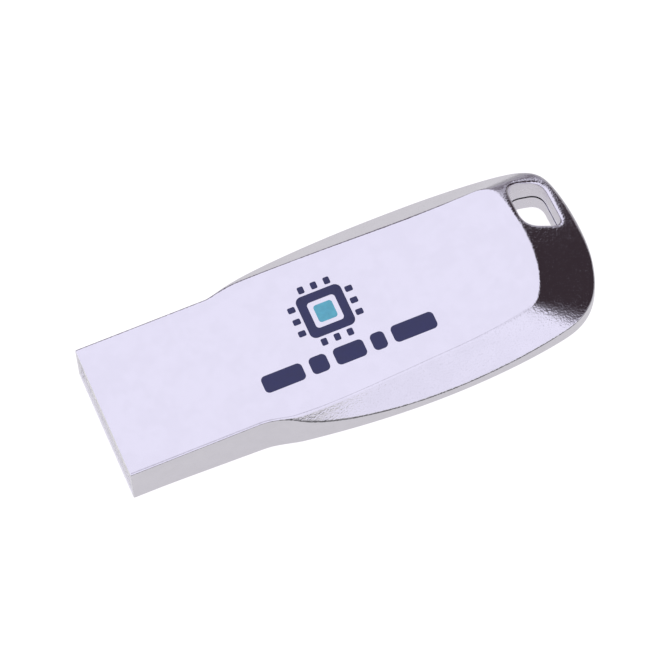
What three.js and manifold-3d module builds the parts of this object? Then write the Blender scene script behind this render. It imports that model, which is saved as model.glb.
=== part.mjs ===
// A capless USB flash drive in a two-piece chrome-plated zinc case.
// The plug tube, the flat top and the sloping rim are one casting, and a cover closes it from below.
// Units are millimetres. The solids are laid out from the plug's mouth (x = 0) towards the keyring end,
// with z = 0 at mid-height of the plug. The exported group then moves the origin to the middle of the
// base: +X points to the keyring end and +Z up.
import * as THREE from "three";
import { mergeVertices } from "three/addons/utils/BufferGeometryUtils.js";
import Module from "manifold-3d";

const wasm = await Module();
wasm.setup();

// Driving dimensions
const LENGTH = 41.8; // plug mouth to keyring end
const HALF_WIDTH = 8.3; // half of the widest place of the rim
const PLUG_WIDTH = 12.0; // USB type A plug
const PLUG_HEIGHT = 4.5;
const PLUG_WALL = 0.3;
const PLUG_LENGTH = 11.3; // mouth to the shoulders of the body
const PLUG_TAPER = 0.06; // the plug gets this much deeper for each millimetre after TAPER_START
const TAPER_START = 3.0;
const TOP = PLUG_HEIGHT / 2; // the flat top runs on from the plug without a step
const BASE = -3.4; // underside, below the plug's mid-height
const ROOF = 0.8; // wall under the flat top
const FLOOR = 0.8; // wall over the underside
const WALL = 1.1; // side wall at the rim
const SEAM = -1.4; // height at which cover and housing meet
const SEAM_GAP = 0.05;
const CAVITY_START = 14.3; // the plug's bore opens into the cavity here
const CAVITY_END = 36.3; // solid metal from here to the keyring end
const BOARD_TOP = -0.25;
const BOARD_THICKNESS = 0.8;
const CLEARANCE = 0.05;
const OUTSIDE = 50; // farther than the drive reaches in any direction
const ACROSS = [-OUTSIDE, OUTSIDE];

// ---------------------------------------------------------------- materials

function finish(color, roughness, metalness) {
  return new THREE.MeshStandardMaterial({ color, roughness, metalness });
}

const chrome = finish(0xd8d6e0, 0.12, 1.0);
const whitePlastic = finish(0xf2f0ec, 0.45, 0.0);
const blackPlastic = finish(0x1c1c20, 0.5, 0.0);
const gold = finish(0xe0b25a, 0.25, 1.0);
const greenLaminate = finish(0x1f5a3a, 0.4, 0.0);
const mouldCompound = finish(0x26262a, 0.6, 0.0);
const steelCan = finish(0xc4c4c8, 0.3, 1.0);
const tanCeramic = finish(0xa98b63, 0.6, 0.0);
const blackCeramic = finish(0x202024, 0.45, 0.0);
const greyFerrite = finish(0x55555a, 0.55, 0.0);
const amberFilm = finish(0xc98a2e, 0.35, 0.0);
const greyFoam = finish(0x8d8f94, 0.9, 0.0);

// ------------------------------------------------------------ solid helpers

// A three.js geometry as a manifold solid.
function solid(geometry) {
  const plain = geometry.index ? geometry.toNonIndexed() : geometry.clone();
  plain.deleteAttribute("normal");
  plain.deleteAttribute("uv");
  const merged = mergeVertices(plain, 1e-4);
  return new wasm.Manifold(
    new wasm.Mesh({
      numProp: 3,
      vertProperties: merged.attributes.position.array,
      triVerts: new Uint32Array(merged.index.array),
    }),
  );
}

// A manifold solid back as a three.js geometry.
function geometryOf(body) {
  const made = body.getMesh();
  const geometry = new THREE.BufferGeometry();
  geometry.setAttribute("position", new THREE.BufferAttribute(made.vertProperties, 3));
  geometry.setIndex(new THREE.BufferAttribute(made.triVerts, 1));
  geometry.computeVertexNormals();
  return geometry;
}

function union(bodies) {
  return bodies.reduce((sum, body) => sum.add(body));
}

function box([x0, x1], [y0, y1], [z0, z1]) {
  const geometry = new THREE.BoxGeometry(x1 - x0, y1 - y0, z1 - z0);
  geometry.translate((x0 + x1) / 2, (y0 + y1) / 2, (z0 + z1) / 2);
  return solid(geometry);
}

// A shape drawn in plan and raised from z0 to z1.
function prismZ(shape, [z0, z1], curveSegments = 6) {
  const options = { depth: z1 - z0, bevelEnabled: false, curveSegments };
  return solid(new THREE.ExtrudeGeometry(shape, options).translate(0, 0, z0));
}

// A side profile of [x, z] points, drawn out from y0 to y1.
function prismY(points, [y0, y1]) {
  const shape = new THREE.Shape(points.map(([x, z]) => new THREE.Vector2(x, z)));
  const geometry = new THREE.ExtrudeGeometry(shape, { depth: y1 - y0, bevelEnabled: false });
  return solid(geometry.rotateX(Math.PI / 2).translate(0, y1, 0));
}

// A shape drawn across the drive, in y and z, and drawn out from x0 to x1.
function prismX(shape, [x0, x1], curveSegments = 3) {
  const options = { depth: x1 - x0, bevelEnabled: false, curveSegments };
  const turn = new THREE.Matrix4().makeBasis(
    new THREE.Vector3(0, 1, 0),
    new THREE.Vector3(0, 0, 1),
    new THREE.Vector3(1, 0, 0),
  );
  return solid(new THREE.ExtrudeGeometry(shape, options).applyMatrix4(turn).translate(x0, 0, 0));
}

function roundedRectangle(width, height, radius) {
  const x = width / 2 - radius;
  const y = height / 2 - radius;
  const quarter = Math.PI / 2;
  const shape = new THREE.Shape();
  shape.absarc(x, y, radius, 0, quarter);
  shape.absarc(-x, y, radius, quarter, 2 * quarter);
  shape.absarc(-x, -y, radius, 2 * quarter, 3 * quarter);
  shape.absarc(x, -y, radius, 3 * quarter, 4 * quarter);
  shape.closePath();
  return shape;
}

// A polygon whose corners are rounded by quadratic curves. They start and end `commonReach` from each
// corner, or the corner's own third number.
function roundedPolygon(corners, commonReach) {
  const shape = new THREE.Shape();
  const points = corners.map(([x, y]) => new THREE.Vector2(x, y));
  points.forEach((corner, i) => {
    const reach = corners[i][2] ?? commonReach;
    const before = points[(i + points.length - 1) % points.length];
    const after = points[(i + 1) % points.length];
    const start = corner.clone().add(before.clone().sub(corner).setLength(reach));
    const end = corner.clone().add(after.clone().sub(corner).setLength(reach));
    if (i === 0) shape.moveTo(start.x, start.y);
    else shape.lineTo(start.x, start.y);
    shape.quadraticCurveTo(corner.x, corner.y, end.x, end.y);
  });
  shape.closePath();
  return shape;
}

// Stacks level rings of equally many points, bottom ring first, into a closed solid.
// Rings run anticlockwise seen from above.
function ringSolid(rings) {
  const count = rings[0].length;
  const positions = rings.flat().flatMap((p) => [p.x, p.y, p.z]);
  const faces = [];
  for (let level = 0; level + 1 < rings.length; level++) {
    for (let i = 0; i < count; i++) {
      const a = level * count + i;
      const b = level * count + ((i + 1) % count);
      faces.push(a, b, b + count, a, b + count, a + count);
    }
  }
  const flat = (ring) => ring.map((p) => new THREE.Vector2(p.x, p.y));
  const cap = (ring) => THREE.ShapeUtils.triangulateShape(flat(ring), []);
  const last = (rings.length - 1) * count;
  for (const [a, b, c] of cap(rings[0])) faces.push(a, c, b);
  for (const [a, b, c] of cap(rings.at(-1))) faces.push(last + a, last + b, last + c);
  const geometry = new THREE.BufferGeometry();
  geometry.setAttribute("position", new THREE.Float32BufferAttribute(positions, 3));
  geometry.setIndex(faces);
  return solid(geometry);
}

// ---------------------------------------------------------------- outlines

// Each outline is a chain of cubic curves given as control points, from the near shoulder round the
// keyring end to the far shoulder. Both chains have the same stretches, so rings match point by point.
const STEPS = [5, 7, 6, 6, 6, 6, 6, 7, 5];

// Rim: [x, y, height of its top edge, height of its bottom edge]
const W = HALF_WIDTH;
const RIM = [
  [PLUG_LENGTH, -6.0, 2.15, -2.65],
  [12.2, -6.03, 2.15, -2.62],
  [13.3, -6.4, 2.1, -2.65],
  [14.2, -6.82, 1.68, -2.15],
  [16.2, -7.55, 0.65, -1.15],
  [21.0, -W, -0.04, -1.02],
  [26.5, -W, -0.06, -1.0],
  [31.0, -W, -0.06, -1.0],
  [35.0, -7.85, 0.36, -1.0],
  [37.4, -7.3, 0.42, -1.05],
  [39.6, -6.75, 0.45, -1.1],
  [40.7, -5.3, 0.45, -0.95],
  [41.25, -3.4, 0.45, -0.85],
  [LENGTH + 0.15, -1.2, 0.45, -0.75],
  [LENGTH + 0.15, 2.0, 0.45, -0.75],
  [41.4, 4.6, 0.45, -0.75],
  [41.1, 6.15, 0.45, -0.75],
  [40.8, 6.95, 0.45, -0.75],
  [38.7, 7.4, 0.45, -0.75],
  [35.8, 8.05, 0.35, -0.8],
  [31.0, W, 0.08, -0.97],
  [26.5, W, 0.08, -0.97],
  [21.0, W, 0.08, -1.02],
  [16.2, 7.55, 0.95, -1.15],
  [14.2, 6.84, 1.79, -2.1],
  [12.9, 6.52, 2.1, -2.5],
  [12.0, 6.1, 2.15, -2.62],
  [PLUG_LENGTH, 6.0, 2.15, -2.65],
];

// Edge of the flat top: [x, y]
const FLAT_TOP = [
  [PLUG_LENGTH, -5.9],
  [12.2, -5.93],
  [13.1, -6.3],
  [14.0, -6.48],
  [17.5, -6.72],
  [22.5, -6.3],
  [28.0, -6.04],
  [31.0, -5.9],
  [33.0, -5.55],
  [34.6, -5.15],
  [35.3, -4.97],
  [35.6, -4.8],
  [35.95, -4.3],
  [37.1, -2.7],
  [37.6, 0.2],
  [37.0, 3.6],
  [36.8, 5.2],
  [36.4, 6.2],
  [35.0, 6.25],
  [33.0, 6.18],
  [30.0, 6.15],
  [27.0, 6.22],
  [22.0, 6.35],
  [18.0, 6.42],
  [14.4, 6.4],
  [13.0, 6.4],
  [12.1, 5.98],
  [PLUG_LENGTH, 5.9],
];

// Points along a chain, three control points a stretch, as [x, y, ...] arrays.
function chainPoints(chain) {
  const cubic = (a, b, c, d, t) =>
    a * (1 - t) ** 3 + 3 * b * (1 - t) ** 2 * t + 3 * c * (1 - t) * t ** 2 + d * t ** 3;
  const points = [];
  STEPS.forEach((steps, stretch) => {
    const [a, b, c, d] = chain.slice(3 * stretch, 3 * stretch + 4);
    for (let i = stretch ? 1 : 0; i <= steps; i++) {
      points.push(a.map((_, axis) => cubic(a[axis], b[axis], c[axis], d[axis], i / steps)));
    }
  });
  return points;
}

// Plan points moved inwards, at right angles to the outline, by `inset` or by what inset(point) gives.
function insetPoints(points, inset) {
  return points.map(([x, y], i) => {
    const by = typeof inset === "function" ? inset(points[i]) : inset;
    const before = points[Math.max(i - 1, 0)];
    const after = points[Math.min(i + 1, points.length - 1)];
    const along = new THREE.Vector2(after[0] - before[0], after[1] - before[1]).normalize();
    return [x - along.y * by, y + along.x * by];
  });
}

const rimPoints = chainPoints(RIM);
const flatTopPoints = chainPoints(FLAT_TOP);

// A ring through plan points, level or at the height that `height(i)` gives for point i.
function ring(points, height) {
  const at = typeof height === "function" ? height : () => height;
  return points.map(([x, y], i) => new THREE.Vector3(x, y, at(i)));
}

// ------------------------------------------------------------ outer surface

const SKIRT_INSET = 1.3; // how far the underside stands in from the rim
const TAIL_SKIRT_INSET = 0.6; // the same at the keyring end, where the hole needs the room
const FLOOR_INSET = 2.1; // how far the cavity's floor stands in from the rim
const ROOF_INSET = 0.75; // how far the cavity's roof stands in from the flat top's edge
const RAMP_END = 13.8; // where the slope under the shoulders reaches the underside

function skirtInset([x]) {
  return THREE.MathUtils.lerp(SKIRT_INSET, TAIL_SKIRT_INSET, THREE.MathUtils.smoothstep(x, 36, 41));
}

// The underside's edge: the rim moved inwards, with its front end moved back to make the front slope.
function undersidePoints() {
  const tail = LENGTH - TAIL_SKIRT_INSET;
  const squeeze = (tail - RAMP_END) / (tail - PLUG_LENGTH);
  const shorten = ([x, y]) => [tail - (tail - x) * squeeze, y];
  return insetPoints(rimPoints, skirtInset).map(shorten);
}

const PLUG_EDGE = 0.12; // radius of the plug's long edges

// The plug: a rounded tube with a wedge under it that deepens it towards the shoulders.
function plugBlank() {
  const end = PLUG_LENGTH + 0.3;
  const tube = prismX(roundedRectangle(PLUG_WIDTH, PLUG_HEIGHT, PLUG_EDGE), [0, end]);
  const deepest = -TOP - PLUG_TAPER * (end - TAPER_START);
  const wedge = [
    [TAPER_START, -TOP],
    [end, deepest],
    [end, 0],
    [TAPER_START, 0],
  ];
  return tube.add(prismY(wedge, [-PLUG_WIDTH / 2, PLUG_WIDTH / 2]));
}

function bodyBlank() {
  return ringSolid([
    ring(undersidePoints(), BASE),
    ring(rimPoints, (i) => rimPoints[i][3]),
    ring(rimPoints, (i) => rimPoints[i][2]),
    ring(flatTopPoints, TOP),
  ]);
}

// The room for the circuit board, with walls of even thickness, open to the plug's bore.
function cavity() {
  const side = insetPoints(rimPoints, WALL);
  const roofEdge = insetPoints(flatTopPoints, ROOF_INSET);
  const floorEdge = insetPoints(rimPoints, FLOOR_INSET);
  const shoulder = 0.4; // the cavity turns inwards this far below the rim's top edge
  const room = ringSolid([
    ring(floorEdge, BASE + FLOOR),
    ring(side, SEAM),
    ring(side, (i) => Math.min(rimPoints[i][2] - shoulder, TOP - ROOF - shoulder)),
    ring(roofEdge, TOP - ROOF),
  ]);
  return room.intersect(box([CAVITY_START, CAVITY_END], ACROSS, [BASE, TOP]));
}

function plugBore() {
  const bore = roundedRectangle(PLUG_WIDTH - 2 * PLUG_WALL, PLUG_HEIGHT - 2 * PLUG_WALL, 0.1);
  return prismX(bore, [-1, CAVITY_START + 0.1]);
}

// Keyring hole, a rounded four-cornered slot by the far corner: [x, y, reach of the corner's rounding]
const HOLE = [
  [37.4, 1.85, 1.3],
  [40.62, 1.15, 1.1],
  [40.5, 5.55, 1.6],
  [37.4, 6.2, 1.5],
];
const HOLE_CENTRE = [38.95, 3.7];

function keyringHole(inset) {
  const [cx, cy] = HOLE_CENTRE;
  const corners = HOLE.map(([x, y, reach]) => [
    x + Math.sign(cx - x) * inset,
    y + Math.sign(cy - y) * inset,
    reach - inset,
  ]);
  return prismZ(roundedPolygon(corners), [BASE - 1, TOP + 1], 5);
}

// Everything above the parting line, which runs low under the plug and rises to SEAM behind the
// shoulders. `drop` lowers it.
function aboveSeam(drop) {
  const profile = [
    [-1, -3.0 - drop],
    [12.4, -3.0 - drop],
    [17.5, SEAM - drop],
    [OUTSIDE, SEAM - drop],
    [OUTSIDE, OUTSIDE],
    [-1, OUTSIDE],
  ];
  return prismY(profile, ACROSS);
}

// ------------------------------------------------------------------ housing

const PIN = { x: 38.6, y: -2.4, radius: 0.6, top: -0.5 }; // press-fit pin of the cover

function pin(radius, top, bottom) {
  const geometry = new THREE.CylinderGeometry(radius, radius, top - bottom, 20);
  return solid(geometry.rotateX(Math.PI / 2).translate(PIN.x, PIN.y, (top + bottom) / 2));
}

function upperHousing() {
  return plugBlank()
    .add(bodyBlank())
    .intersect(aboveSeam(0))
    .subtract(cavity())
    .subtract(plugBore())
    .subtract(keyringHole(0))
    .subtract(pin(PIN.radius + CLEARANCE, PIN.top + 0.2, SEAM - 1));
}

const LIP = { start: 18.5, end: CAVITY_END - 0.4, thickness: 0.45, height: 0.3, gap: 5 };

// The raised lip that centres the cover inside the housing's walls, open in the middle of each end.
function locatingLip() {
  const outline = (inset) => planShape(insetPoints(rimPoints, inset));
  const tall = [SEAM - 1, SEAM + 1];
  const outer = prismZ(outline(WALL + CLEARANCE), [SEAM - LIP.height, SEAM + LIP.height]);
  const inner = prismZ(outline(WALL + CLEARANCE + LIP.thickness), tall);
  const span = box([LIP.start, LIP.end], ACROSS, tall);
  const gap = box([LIP.start + 0.5, LIP.end + 0.1], [-LIP.gap, LIP.gap], tall);
  return outer.subtract(inner).intersect(span).subtract(gap);
}

function planShape(points) {
  return new THREE.Shape(points.map(([x, y]) => new THREE.Vector2(x, y)));
}

const BOARD_BOTTOM = BOARD_TOP - BOARD_THICKNESS;
const RESTS = { x: [17.2, 34.9], y: [-5.2, 5.2], length: 1.0, width: 0.8 }; // the board lies on these
const RIBS = { x: 31.0, y: [-5.95, 5.95], length: 0.8, width: 0.6 }; // these hold it lengthwise
const HOLE_STEP = 0.14; // how much smaller the keyring hole is in the cover

// A post that stands on the cover's floor.
function post(x, y, { length, width }, top) {
  const bottom = BASE + FLOOR - 0.2;
  return box([x - length / 2, x + length / 2], [y - width / 2, y + width / 2], [bottom, top]);
}

function lowerCover() {
  const shell = bodyBlank()
    .subtract(aboveSeam(SEAM_GAP))
    .subtract(cavity())
    .subtract(keyringHole(HOLE_STEP));
  const rests = RESTS.x.flatMap((x) => RESTS.y.map((y) => post(x, y, RESTS, BOARD_BOTTOM - 0.02)));
  const ribs = RIBS.y.map((y) => post(RIBS.x, y, RIBS, BOARD_TOP + 0.3));
  return union([shell, locatingLip(), pin(PIN.radius, PIN.top, SEAM - 0.4), ...rests, ...ribs]);
}

// ------------------------------------------------------- plug and its contacts

const TONGUE_TOP = 0.0;
const CONTACT = { width: 1.0, thickness: 0.2, top: -0.03, end: 14.9 };
const CONTACTS = [
  { name: "contact_power", y: 3.5, front: 1.2 },
  { name: "contact_data_minus", y: 1.0, front: 2.2 },
  { name: "contact_data_plus", y: -1.0, front: 2.2 },
  { name: "contact_ground", y: -3.5, front: 1.2 },
];

// The white insulator: a tongue with a slot for each contact, and a block that closes the bore behind.
function plugInsulator() {
  const low = -PLUG_HEIGHT / 2 + PLUG_WALL + CLEARANCE;
  const side = PLUG_WIDTH / 2 - PLUG_WALL - 0.15;
  const profile = [
    [0.3, low + 0.2],
    [0.5, low],
    [13.3, low],
    [13.3, -low],
    [11.7, -low],
    [11.7, TONGUE_TOP],
    [0.55, TONGUE_TOP],
    [0.3, TONGUE_TOP - 0.25],
  ];
  const slots = CONTACTS.map(({ y, front }) => {
    const width = CONTACT.width / 2 + CLEARANCE;
    const bottom = CONTACT.top - CONTACT.thickness - CLEARANCE;
    const sides = [y - width, y + width];
    const channel = box([front - 0.1, 14], sides, [bottom, TONGUE_TOP + CLEARANCE]);
    const pocket = box([front - 0.1, front + 0.5], sides, [bottom - 0.5, TONGUE_TOP + 0.1]);
    return channel.add(pocket);
  });
  return prismY(profile, [-side, side]).subtract(union(slots));
}

// A contact strip: its front end is bent down into the tongue, its tail lies on the board.
function contact({ y, front }) {
  const { top, thickness, width, end } = CONTACT;
  const profile = [
    [front + 0.15, top],
    [end, top],
    [end, top - thickness],
    [front + 0.3, top - thickness],
    [front + 0.3, top - 0.6],
    [front, top - 0.6],
    [front, top - 0.15],
  ];
  return prismY(profile, [y - width / 2, y + width / 2]);
}

// ------------------------------------------------------------- circuit board

const BOARD = { front: 13.4, back: 35.8, neck: 4.9, half: 6.3, corner: 0.8 };

function circuitBoard() {
  const { front, back, neck, half, corner } = BOARD;
  const nearCorner = 1.6; // cut deeper, because the case is rounder there
  const outline = [
    [front, -neck],
    [15.6, -neck],
    [18.4, -half],
    [back - nearCorner, -half],
    [back, -half + nearCorner],
    [back, half - corner],
    [back - corner, half],
    [18.4, half],
    [15.6, neck],
    [front, neck],
  ];
  const x = [RIBS.x - 0.5, RIBS.x + 0.5];
  const notches = [-half, half].map((y) => box(x, [y - 0.75, y + 0.75], [-2, 1]));
  return prismZ(roundedPolygon(outline, 0.3), [BOARD_BOTTOM, BOARD_TOP], 3).subtract(union(notches));
}

// A gull-wing lead that leaves a package at (x, y) in the direction of `angle`.
function lead({ x, y, angle, exit, width, face }) {
  const metal = 0.13;
  const reach = 0.85;
  const profile = [
    [-0.1, exit + metal / 2],
    [0.22, exit + metal / 2],
    [0.42, metal],
    [reach, metal],
    [reach, 0],
    [0.34, 0],
    [0.16, exit - metal / 2],
    [-0.1, exit - metal / 2],
  ];
  const shape = new THREE.Shape(profile.map(([u, v]) => new THREE.Vector2(u, v)));
  const geometry = new THREE.ExtrudeGeometry(shape, { depth: width, bevelEnabled: false });
  geometry.rotateX(Math.PI / 2).translate(0, width / 2, 0);
  if (face < 0) geometry.rotateX(Math.PI);
  geometry.rotateZ(angle).translate(x, y, 0);
  return solid(geometry);
}

// A moulded package with leads on its sides, standing on the board's top (face 1) or hanging
// under it (face -1). `rows` lists the sides that have leads, as angles.
function leadedPackage({ x, y, size, height, rows, perRow, pitch, face }) {
  const standoff = 0.1;
  const exit = standoff + height / 2;
  const [sx, sy] = size;
  const lift = (z0, z1) => (face > 0 ? [z0, z1] : [-z1, -z0]);
  const body = box([-sx / 2, sx / 2], [-sy / 2, sy / 2], lift(standoff, standoff + height));
  const leads = rows.flatMap((angle) =>
    Array.from({ length: perRow }, (_, i) => {
      const across = (i - (perRow - 1) / 2) * pitch;
      const out = Math.abs(Math.cos(angle)) * (sx / 2) + Math.abs(Math.sin(angle)) * (sy / 2);
      const px = Math.cos(angle) * out - Math.sin(angle) * across;
      const py = Math.sin(angle) * out + Math.cos(angle) * across;
      return lead({ x: px, y: py, angle, exit, width: pitch * 0.45, face });
    }),
  );
  const surface = face > 0 ? BOARD_TOP + 0.02 : BOARD_BOTTOM - 0.02;
  return union([body, ...leads]).translate([x, y, surface]);
}

const LEFT = Math.PI;
const RIGHT = 0;
const FAR = Math.PI / 2;
const NEAR = -Math.PI / 2;

function controllerChip() {
  const body = { x: 25, y: 0, size: [7, 7], height: 1.2, face: 1 };
  return leadedPackage({ ...body, rows: [LEFT, RIGHT, FAR, NEAR], perRow: 12, pitch: 0.5 });
}

function memoryChip() {
  const body = { x: 26, y: 0, size: [15.4, 9.6], height: 1.0, face: -1 };
  return leadedPackage({ ...body, rows: [LEFT, RIGHT], perRow: 18, pitch: 0.5 });
}

function voltageRegulator() {
  const body = { x: 18.2, y: 3.2, size: [2.9, 1.4], height: 0.9, face: 1 };
  return leadedPackage({ ...body, rows: [FAR, NEAR], perRow: 3, pitch: 0.95 });
}

// A small two-ended part: its metal ends stand a little proud of its middle.
function chipPart({ x, y, length, width, height, turned }) {
  const lip = 0.03;
  const end = length * 0.2;
  const z = BOARD_TOP + 0.02;
  const part = (u, grow, from, to) => {
    const along = [from, to];
    const across = [-width / 2 - grow, width / 2 + grow];
    const [bx, by] = turned ? [across, along] : [along, across];
    return box([bx[0] + x, bx[1] + x], [by[0] + y, by[1] + y], [z + lip - grow, z + u]);
  };
  const half = length / 2;
  return union([
    part(height, 0, -half + end / 2, half - end / 2),
    part(height + lip, lip, -half, -half + end),
    part(height + lip, lip, half - end, half),
  ]);
}

const CAPACITOR = { length: 1.6, width: 0.8, height: 0.8 };
const RESISTOR = { length: 1.6, width: 0.8, height: 0.45 };
const BEAD = { length: 2.0, width: 1.2, height: 0.9 };

const CHIP_PARTS = [
  { name: "capacitor_power_input", x: 15.7, y: 3.3, kind: CAPACITOR, turned: true, material: tanCeramic },
  { name: "capacitor_regulator", x: 19.0, y: 5.4, kind: CAPACITOR, material: tanCeramic },
  { name: "capacitor_core", x: 21.6, y: 5.4, kind: CAPACITOR, material: tanCeramic },
  { name: "capacitor_memory", x: 30.4, y: 3.6, kind: CAPACITOR, turned: true, material: tanCeramic },
  { name: "capacitor_crystal_a", x: 30.6, y: -3.9, kind: CAPACITOR, turned: true, material: tanCeramic },
  { name: "capacitor_crystal_b", x: 34.6, y: -3.2, kind: CAPACITOR, turned: true, material: tanCeramic },
  { name: "resistor_data_minus", x: 17.1, y: 1.0, kind: RESISTOR, material: blackCeramic },
  { name: "resistor_data_plus", x: 17.1, y: -1.0, kind: RESISTOR, material: blackCeramic },
  { name: "resistor_reference", x: 20.4, y: -5.4, kind: RESISTOR, material: blackCeramic },
  { name: "resistor_memory", x: 32.2, y: 3.6, kind: RESISTOR, turned: true, material: blackCeramic },
  { name: "ferrite_bead", x: 17.3, y: -3.6, kind: BEAD, material: greyFerrite },
];

function crystal() {
  const foot = box([31.2, 34.4], [-1.25, 1.25], [BOARD_TOP + 0.02, BOARD_TOP + 0.3]);
  const lid = box([31.4, 34.2], [-1.05, 1.05], [BOARD_TOP + 0.2, BOARD_TOP + 0.8]);
  return foot.add(lid);
}

// ------------------------------------------------- films, pad and rear spacer

// Each sheet: extent along x, half width and extent in height
const UPPER_FILM = { x: [15.0, 34.0], half: 4.2, z: [1.32, 1.4] };
const LOWER_FILM = { x: [15.6, 34.6], half: 4.4, z: [-2.56, -2.48] };
const PAD = { x: [20, 32], half: 3.5, z: [-2.46, -2.2] };

function sheet({ x, half, z }) {
  return box(x, [-half, half], z);
}

// A block behind the board, with a slot that the board's end slides into.
function rearSpacer() {
  const z = [BASE + FLOOR + 0.02, TOP - ROOF - 0.4];
  const slot = box([35, 36.12], ACROSS, [BOARD_BOTTOM - CLEARANCE, BOARD_TOP + CLEARANCE]);
  return box([35.45, 36.25], [-3.2, 3.2], z).subtract(slot);
}

// ----------------------------------------------------------------- assembly

const drive = new THREE.Group();
drive.position.set(-LENGTH / 2, 0, -BASE);

function place(name, body, material) {
  const mesh = new THREE.Mesh(geometryOf(body), material);
  mesh.name = name;
  drive.add(mesh);
}

place("upper_housing", upperHousing(), chrome);
place("lower_cover", lowerCover(), chrome);
place("plug_insulator", plugInsulator(), whitePlastic);
for (const strip of CONTACTS) place(strip.name, contact(strip), gold);
place("circuit_board", circuitBoard(), greenLaminate);
place("controller_chip", controllerChip(), mouldCompound);
place("memory_chip", memoryChip(), mouldCompound);
place("voltage_regulator", voltageRegulator(), mouldCompound);
place("crystal", crystal(), steelCan);
for (const { name, x, y, kind, turned, material } of CHIP_PARTS) {
  place(name, chipPart({ x, y, turned, ...kind }), material);
}
place("insulation_film_upper", sheet(UPPER_FILM), amberFilm);
place("insulation_film_lower", sheet(LOWER_FILM), amberFilm);
place("adhesive_pad", sheet(PAD), greyFoam);
place("rear_spacer", rearSpacer(), blackPlastic);

export default drive;
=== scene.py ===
"""A chrome-plated USB flash drive on a pale studio floor.

The case is rebuilt here as smooth plated metal around the CAD frame; the parts inside it keep their
CAD shapes. Lengths in this script are millimetres measured from the middle of the plug's mouth, with
x towards the keyring end, until to_frame() puts a mesh into the frame's metres.
"""

import math

import bpy
import numpy as np
from mathutils import Matrix, Vector
from mathutils.bvhtree import BVHTree
from mathutils.geometry import delaunay_2d_cdt


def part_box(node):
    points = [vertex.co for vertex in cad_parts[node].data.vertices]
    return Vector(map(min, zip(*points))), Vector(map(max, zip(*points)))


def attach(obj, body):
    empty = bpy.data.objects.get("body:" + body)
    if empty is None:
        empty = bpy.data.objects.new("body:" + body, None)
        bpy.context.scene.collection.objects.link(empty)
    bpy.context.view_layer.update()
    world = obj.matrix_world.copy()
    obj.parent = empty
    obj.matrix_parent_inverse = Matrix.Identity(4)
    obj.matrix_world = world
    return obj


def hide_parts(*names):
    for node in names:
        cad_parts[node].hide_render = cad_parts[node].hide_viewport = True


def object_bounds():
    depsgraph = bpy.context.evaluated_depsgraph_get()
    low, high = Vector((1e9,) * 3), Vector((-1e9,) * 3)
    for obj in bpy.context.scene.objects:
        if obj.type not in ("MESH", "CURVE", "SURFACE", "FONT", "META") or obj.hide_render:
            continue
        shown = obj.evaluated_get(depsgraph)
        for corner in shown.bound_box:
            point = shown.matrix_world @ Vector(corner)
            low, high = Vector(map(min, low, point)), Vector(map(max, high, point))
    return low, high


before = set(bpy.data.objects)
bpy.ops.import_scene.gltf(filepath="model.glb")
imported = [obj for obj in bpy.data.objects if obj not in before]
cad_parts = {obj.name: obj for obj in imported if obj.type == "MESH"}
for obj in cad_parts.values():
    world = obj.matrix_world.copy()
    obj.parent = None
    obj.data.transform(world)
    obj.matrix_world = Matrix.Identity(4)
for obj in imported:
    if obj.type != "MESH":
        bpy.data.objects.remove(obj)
CAD_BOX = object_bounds()

# ------------------------------------------------------------------ dimensions

MM = 0.001
TOP = 2.25  # half the plug's height; the flat top of the body is level with it
BASE = -3.4  # underside of the body
PLUG_HALF_WIDTH = 6.0
PLUG_END = 11.3  # where the shoulders of the body begin
SHOULDER_END = 14.5
PLUG_EDGE = 0.1
MOUTH_EDGE = 0.1
SKIRT = 1.3  # how far the underside stands in from the rim
TAIL_SKIRT = 0.6  # the same at the keyring end
PLUG_TAPER = 0.06  # how much deeper the plug gets for each millimetre after its first three
PLUG_TAPER_START = 3.0
SEAM = -1.4  # height of the parting line
PLUG_SEAM = -3.0  # where it lies under the plug
SEAM_RISE = (12.4, 17.5)  # it rises from one height to the other between these
SEAM_GAP = 0.14
WALL = 1.1
ROOF = 0.8
FLOOR = 0.8
CAVITY = (14.3, 36.3)
CAVITY_SHOULDER = 0.4  # how far below the rim the cavity's walls turn inwards
ROOF_INSET = 0.75
FLOOR_INSET = 2.1
PLUG_WALL = 0.3
PLUG_BORE_RADIUS = 0.12
MOUTH_LEAD_IN = 0.08
CLEARANCE = 0.05
ACROSS = (-9, 9)  # wider than the case

# Rounding of the case's edges: how far each curve reaches into the faces that meet there
FLAT_EDGE = 0.2
RIM_EDGE = 0.22
FAR_SOFTER = 0.06  # what both gain on the far side
TAIL_SOFTER = 0.2  # what the rim gains besides at the keyring end
LOWER_EDGE = 0.1
UNDER_EDGE = 0.12
SLOT_EDGE = 0.36
SLOT_TAIL_EDGE = 0.16  # what the slot's edge gains towards the tail
SLOT_UNDER_EDGE = 0.15

# Where the sections change, from the first value to the second
TAIL_CHANGE = (30, 36)  # x
SKIRT_CHANGE = (36, 41)  # x
RIM_CHANGE = (-2.5, 1.5)  # y
FLAT_CHANGE = (2, 6)  # y

# The cover's lip, the rests that the board lies on and the ribs that hold it lengthwise. Each starts a
# little inside the cover, so that it is one piece with it.
ROOT = 0.4
POST_ROOT = 0.2
LIP = {"start": 18.5, "end": CAVITY[1] - 0.4, "thickness": 0.45, "height": 0.3}
RESTS = {"x": (17.2, 34.9), "y": 5.2, "length": 1.0, "width": 0.8}
RIBS = {"x": (31.0,), "y": 5.95, "length": 0.8, "width": 0.6}
RIB_RISE = 1.1  # from the board's underside
BOARD_GAP = 0.02

MOUTH_X = CAD_BOX[0].x
MID_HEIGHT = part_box("upper_housing")[1].z - TOP * MM
LENGTH = (CAD_BOX[1].x - CAD_BOX[0].x) / MM
HALF_WIDTH = (CAD_BOX[1].y - CAD_BOX[0].y) / MM / 2


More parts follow.
